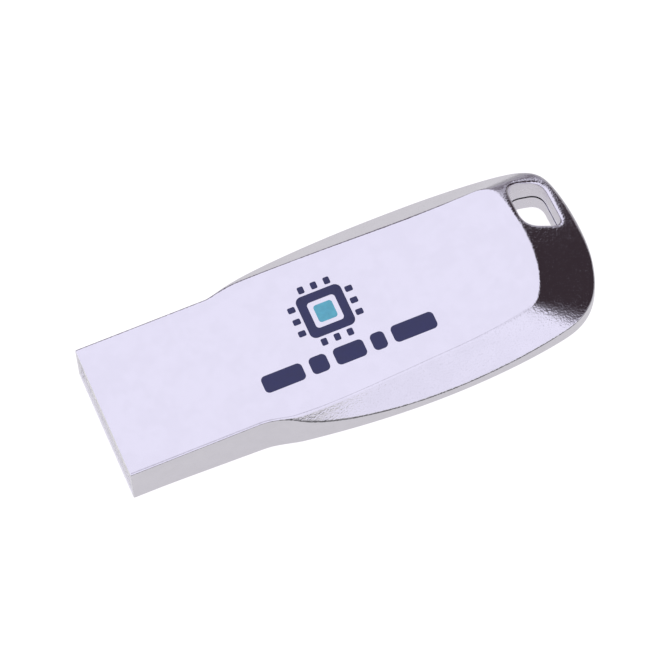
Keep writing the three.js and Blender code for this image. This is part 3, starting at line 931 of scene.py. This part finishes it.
def floor():
    """A white floor whose glow is painted light. The camera sees it evenly white. What the plating
    reflects
    of it is painted reflection: brightest under the drive, half as bright past the keyring end, dark in a
    band in front of the drive and bright again farther out."""
    turns = np.linspace(0, 2 * math.pi, 48, endpoint=False)
    rim = raised(FLOOR_RADIUS * np.stack([np.cos(turns), np.sin(turns)], axis=1), BASE)
    piece = make_object("floor", rim, [tuple(range(len(rim)))])
    piece.data.vertices.foreach_set("co", to_frame(rim).ravel())
    surface = Surface("floor_glow_painted_reflection")
    seen = surface.add("ShaderNodeLightPath").outputs["Is Camera Ray"]
    grain = surface.noise(0.8)
    x, y, z = surface.parts(surface.place)
    # Painted reflection: zones of the glow that only reflections see, standing in for floor shade and dark
    # surroundings
    tail = surface.between(surface.ramp(x, 28.0, 23.5), 0.5, 1.0)
    close = surface.math("MULTIPLY", surface.ramp(y, -16.5, -12.0), tail)
    lit = surface.math("MAXIMUM", close, surface.ramp(y, -30.0, -55.0))
    surface.set(
        base_color=surface.mix(grain, (0.08, 0.08, 0.08), (0.12, 0.12, 0.12)),
        roughness=0.9,
        emission_color=FLOOR_GLOW,
        emission_strength=surface.mix_value(seen, surface.between(lit, *FLOOR_REFLECTED), FLOOR_SEEN),
    )
    piece.data.materials.append(surface.material)


def studio_light():
    """A wide soft lavender-white canopy, a little duller overhead. Two dark cards, one past the keyring
    end and one past the far side, lighten towards the horizon."""
    world = bpy.data.worlds.new("studio")
    bpy.context.scene.world = world
    world.use_nodes = True
    sky = Nodes(world.node_tree)
    x, y, z = sky.parts(sky.add("ShaderNodeTexCoord").outputs["Generated"])
    degree = math.degrees(1)
    azimuth = sky.math("MULTIPLY", sky.math("ARCTAN2", y, x), degree)
    elevation = sky.math("MULTIPLY", sky.math("ARCSINE", z), degree)
    light = sky.mix(sky.ramp(elevation, 34, 12), CANOPY, CANOPY_LOW)
    light = sky.mix(sky.ramp(elevation, 70, 80), light, CANOPY_OVERHEAD)
    far_top = sky.between(sky.ramp(azimuth, 60, 74), 22, 38)
    far = sky.math("MULTIPLY", sky.ramp(azimuth, 40, 50), sky.ramp(azimuth, 150, 110))
    far = sky.math("MULTIPLY", far, sky.ramp(sky.math("SUBTRACT", elevation, far_top), 5, -5))
    low = sky.ramp(elevation, 18, 1)
    light = sky.mix(far, light, sky.mix(low, FAR_CARD, FAR_CARD_LOW))
    thinner = sky.between(sky.ramp(azimuth, -42, -16), 0.85, 1)
    end = sky.math("MULTIPLY", sky.ramp(azimuth, -57, -37), thinner)
    end = sky.math("MULTIPLY", end, sky.ramp(azimuth, 52, 32))
    end = sky.math("MULTIPLY", end, sky.ramp(elevation, 62, 54))
    light = sky.mix(end, light, sky.mix(low, END_CARD, END_CARD_LOW))
    diffuse = sky.add("ShaderNodeLightPath").outputs["Is Diffuse Ray"]
    light = sky.mix(diffuse, light, DIFFUSE_LIGHT)
    background = sky.add("ShaderNodeBackground")
    sky.link(light, background.inputs["Color"])
    output = sky.add("ShaderNodeOutputWorld")
    sky.link(background.outputs[0], output.inputs["Surface"])


CAMERA_AIM = (19.97, 0.0, -0.24)
CAMERA_AZIMUTH = -19.32
CAMERA_ELEVATION = 64.59
CAMERA_ROLL = -3.85
CAMERA_DISTANCE = 400.0
CAMERA_LENS = 267.2


def camera():
    """A long lens, aimed near the middle of the drive from above the plug's near side."""
    azimuth = math.radians(CAMERA_AZIMUTH)
    elevation = math.radians(CAMERA_ELEVATION)
    back = Vector(
        (
            math.sin(azimuth) * math.cos(elevation),
            -math.cos(azimuth) * math.cos(elevation),
            math.sin(elevation),
        )
    )
    right = Vector((math.cos(azimuth), math.sin(azimuth), 0))
    upright = Matrix((right, back.cross(right), back)).transposed()
    turned = upright @ Matrix.Rotation(math.radians(CAMERA_ROLL), 3, "Z")
    data = bpy.data.cameras.new("camera")
    data.lens = CAMERA_LENS
    data.sensor_width = 36.0
    data.clip_start = 0.01
    made = bpy.data.objects.new("camera", data)
    bpy.context.scene.collection.objects.link(made)
    aim = Vector(to_frame(CAMERA_AIM)[0])
    made.matrix_world = Matrix.Translation(aim + back * CAMERA_DISTANCE * MM) @ turned.to_4x4()
    bpy.context.scene.camera = made


# ------------------------------------------------------------------ the print

INK_BOTTOM = TOP - 0.01
INK_TOP = TOP + 0.02


def rounded_rectangle(x, y, radius):
    """A loop of plan points, anticlockwise."""
    points = []
    corners = [(x[1], y[1]), (x[0], y[1]), (x[0], y[0]), (x[1], y[0])]
    for quarter, (cx, cy) in enumerate(corners):
        middle_x = cx - math.copysign(radius, cx - sum(x) / 2)
        middle_y = cy - math.copysign(radius, cy - sum(y) / 2)
        for t in np.linspace(0, 1, 8):
            turn = math.pi / 2 * (quarter + t)
            points.append((middle_x + radius * math.cos(turn), middle_y + radius * math.sin(turn)))
    return np.array(points)


def ink_patch(name, outline, window=None):
    """A thin closed layer of ink in the shape of an outline, with an optional window through it."""
    shoulder = offset_loop(outline, -0.02)
    rings = [raised(outline, INK_BOTTOM), raised(outline, INK_TOP - 0.01), raised(shoulder, INK_TOP)]
    if window is None:
        return ring_solid(name, rings)
    rings += [raised(window, INK_TOP), raised(window, INK_BOTTOM)]
    count = len(outline)
    faces = []
    for level in range(len(rings)):
        below = level * count
        above = (level + 1) % len(rings) * count
        for i in range(count):
            j = (i + 1) % count
            faces.append((below + i, below + j, above + j, above + i))
    return make_object(name, np.concatenate(rings), faces)


def joined(name, pieces):
    """Separate meshes as one object."""
    vertices = []
    faces = []
    for piece in pieces:
        first = len(vertices)
        vertices += [tuple(v.co) for v in piece.data.vertices]
        faces += [[first + v for v in face.vertices] for face in piece.data.polygons]
        bpy.data.objects.remove(piece)
    return make_object(name, vertices, faces)


CHIP_CENTRE = (19.7, 1.15)
CHIP_HALF = 1.95
DASHES = [3.5, 1.5, 2.6, 1.2, 3.7]
DASH_START = 12.6
DASH_GAP = 0.6
DASH_Y = (-3.75, -2.2)


def chip_picture():
    """A memory chip seen from above: a square ring with three pins on each side."""
    x, y = CHIP_CENTRE
    body = rounded_rectangle((x - CHIP_HALF, x + CHIP_HALF), (y - CHIP_HALF, y + CHIP_HALF), 0.55)
    inner = CHIP_HALF - 0.75
    window = rounded_rectangle((x - inner, x + inner), (y - inner, y + inner), 0.3)
    patches = [ink_patch("body", body, window)]
    for side in (-1, 1):
        for k in (-1, 0, 1):
            reach = sorted((side * (CHIP_HALF + 0.22), side * (CHIP_HALF + 0.85)))
            width = (k * 1.12 - 0.26, k * 1.12 + 0.26)
            for along, over in ((reach, width), (width, reach)):
                pin_x = [x + value for value in along]
                pin_y = [y + value for value in over]
                patches.append(ink_patch("pin", rounded_rectangle(pin_x, pin_y, 0.12)))
    return patches


def dash_row():
    """A plain row of dashes in place of a word."""
    patches = []
    start = DASH_START
    for length in DASHES:
        patches.append(ink_patch("dash", rounded_rectangle((start, start + length), DASH_Y, 0.4)))
        start += length + DASH_GAP
    return patches


def chip_core():
    x, y = CHIP_CENTRE
    return ink_patch("print_core", rounded_rectangle((x - 0.8, x + 0.8), (y - 0.8, y + 0.8), 0.25))


# --------------------------------------------------------------- inner pieces


def moulded_plastic(name, colour, roughness):
    """Plastic with the fine spark-eroded texture of its mould."""
    surface = Surface(name)
    patch = surface.ramp(surface.noise(1.2), 0.3, 0.7)
    surface.set(
        base_color=surface.mix(patch, shaded(colour, 0.93), colour),
        roughness=surface.between(patch, roughness, roughness + 0.12),
        normal=surface.bump(surface.noise(0.07), 0.003),
    )
    return surface.material


def gold_plating(name):
    """Gold on nickel, with the rubbed track that a socket's springs leave along each contact."""
    surface = Surface(name)
    x, y, z = surface.parts(surface.place)
    lines = surface.noise(0.05, detail=2, stretch=(30, 1, 1))
    rubbed = surface.math("MULTIPLY", surface.ramp(lines, 0.5, 0.62), surface.ramp(x, -12.5, -14.5))
    surface.set(
        base_color=surface.mix(rubbed, (1.0, 0.74, 0.36), (0.86, 0.78, 0.66)),
        metallic=1.0,
        roughness=surface.between(lines, 0.16, 0.34),
        normal=surface.bump(lines, 0.001),
    )
    return surface.material


def board_laminate(name):
    """Green solder mask over copper tracks, with the bare glass fibre showing at the cut edges."""
    surface = Surface(name)
    x, y, z = surface.parts(surface.place)
    bricks = surface.add("ShaderNodeTexBrick", offset=0.5, squash=0.6)
    bricks.inputs["Scale"].default_value = 1.0
    bricks.inputs["Mortar Size"].default_value = 0.09
    bricks.inputs["Mortar Smooth"].default_value = 0.3
    bricks.inputs["Brick Width"].default_value = 2.3
    bricks.inputs["Row Height"].default_value = 0.55
    bent = surface.noise(3.0, detail=0)
    surface.link(surface.vector("ADD", surface.place, surface.both(bent, 1.5)), bricks.inputs[0])
    track = bricks.outputs["Fac"]
    upright = surface.parts(surface.add("ShaderNodeNewGeometry").outputs["Normal"])[2]
    edge = surface.ramp(surface.math("ABSOLUTE", upright), 0.6, 0.4)
    mask = surface.mix(track, (0.012, 0.10, 0.045), (0.03, 0.19, 0.075))
    weave = surface.noise(0.15, detail=2)
    surface.set(
        base_color=surface.mix(edge, mask, (0.45, 0.42, 0.25)),
        roughness=surface.between(edge, 0.28, 0.75),
        normal=surface.bump(surface.math("ADD", track, surface.math("MULTIPLY", weave, 0.3)), 0.02),
    )
    return surface.material


def within(surface, node, inset):
    """1 over the middle of a CAD node's box in plan, 0 within `inset` (x, y) of its edges."""
    low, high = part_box(node)
    x, y, z = surface.parts(surface.place)
    factor = 1.0
    for value, start, end, margin in zip((x, y), low, high, inset):
        middle = (start + end) / 2 / MM
        half = (end - start) / 2 / MM - margin
        offset = surface.math("ABSOLUTE", surface.math("SUBTRACT", value, middle))
        factor = surface.math("MULTIPLY", surface.ramp(offset, half + 0.01, half - 0.01), factor)
    return factor


def component(name, node, body, inset, roughness):
    """A board component: its body in the middle and solder-tinned leads or caps around it."""
    surface = Surface(name)
    middle = within(surface, node, inset)
    speckle = surface.noise(0.12)
    solder = surface.mix(speckle, (0.68, 0.68, 0.70), (0.82, 0.82, 0.84))
    metal = surface.math("SUBTRACT", 1.0, middle)
    surface.set(
        base_color=surface.mix(middle, solder, surface.mix(speckle, shaded(body, 0.8), body)),
        metallic=metal,
        roughness=surface.mix_value(middle, 0.3, roughness),
        normal=surface.bump(surface.noise(0.06), 0.003),
    )
    return surface.material


def brushed_lid(name):
    surface = Surface(name)
    lines = surface.noise(0.06, detail=2, stretch=(1, 14, 1))
    surface.set(
        base_color=surface.mix(lines, (0.62, 0.62, 0.63), (0.8, 0.8, 0.81)),
        metallic=1.0,
        roughness=surface.between(lines, 0.22, 0.4),
        normal=surface.bump(lines, 0.002),
    )
    return surface.material


def amber_film(name):
    """Polyimide film: clear amber, slightly rippled."""
    surface = Surface(name)
    ripple = surface.noise(2.5, detail=1)
    surface.set(
        base_color=surface.mix(ripple, (0.62, 0.27, 0.03), (0.78, 0.40, 0.07)),
        roughness=0.16,
        transmission_weight=0.35,
        normal=surface.bump(ripple, 0.05),
    )
    return surface.material


def foam(name):
    """Closed-cell foam tape: small open cells where it was cut."""
    surface = Surface(name)
    cells = surface.add("ShaderNodeTexVoronoi")
    surface.link(surface.vector("MULTIPLY", surface.place, (6, 6, 6)), cells.inputs["Vector"])
    cells.inputs["Scale"].default_value = 1.0
    pore = surface.ramp(cells.outputs["Distance"], 0.15, 0.6)
    surface.set(
        base_color=surface.mix(pore, (0.12, 0.125, 0.13), (0.30, 0.31, 0.33)),
        roughness=0.9,
        normal=surface.bump(pore, 0.05),
    )
    return surface.material


def finish_inner_pieces():
    """The CAD's own shapes stay for the parts in and behind the plug, each with its finish."""
    leads = {"controller_chip": (0.85, 0.85), "memory_chip": (0.85, -1), "voltage_regulator": (-1, 0.65)}
    plain = {
        "plug_insulator": moulded_plastic("white_insulator", (0.88, 0.87, 0.84), 0.35),
        "circuit_board": board_laminate("board_laminate"),
        "crystal": brushed_lid("crystal_lid"),
        "adhesive_pad": foam("grey_foam"),
        "rear_spacer": moulded_plastic("black_spacer", (0.02, 0.02, 0.022), 0.5),
        "insulation_film_lower": amber_film("amber_film"),
        "contact_power": gold_plating("gold_contact"),
    }
    plain["insulation_film_upper"] = plain["insulation_film_lower"]
    for name in ("contact_data_minus", "contact_data_plus", "contact_ground"):
        plain[name] = plain["contact_power"]
    small = {
        "capacitor": ((0.46, 0.33, 0.19), 0.4),
        "resistor": ((0.03, 0.03, 0.035), 0.25),
        "ferrite": ((0.13, 0.13, 0.14), 0.5),
    }
    for name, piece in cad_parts.items():
        if name in plain:
            material = plain[name]
        elif name in leads:
            material = component(name, name, BLACK_EPOXY, leads[name], 0.55)
        elif name.split("_")[0] in small:
            low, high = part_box(name)
            caps = (0.3, -1) if high.x - low.x > high.y - low.y else (-1, 0.3)
            colour, roughness = small[name.split("_")[0]]
            material = component(name, name, colour, caps, roughness)
        else:
            continue
        for place in piece.material_slots:
            place.material = material
        weld = piece.modifiers.new("joined faces", "WELD")
        weld.merge_threshold = 0.001 * MM
        bevel = piece.modifiers.new("worn edges", "BEVEL")
        bevel.width = 0.04 * MM
        bevel.segments = 2
        bevel.limit_method = "ANGLE"
        bevel.harden_normals = True


# ---------------------------------------------------------------------- build

housing_metal = plated_metal("plated_housing", HOUSING_TINT)
cover_metal = plated_metal("plated_cover", COVER_TINT)
finish_piece(upper_housing(), housing_metal, ["upper_housing"])
finish_piece(lower_cover(), cover_metal, ["lower_cover"])
finish_piece(joined("print_navy", chip_picture() + dash_row()), ink("navy_ink", NAVY), [])
finish_piece(chip_core(), ink("teal_ink", TEAL), [])
finish_inner_pieces()
floor()
studio_light()
camera()
bpy.context.scene.view_settings.view_transform = "Standard"
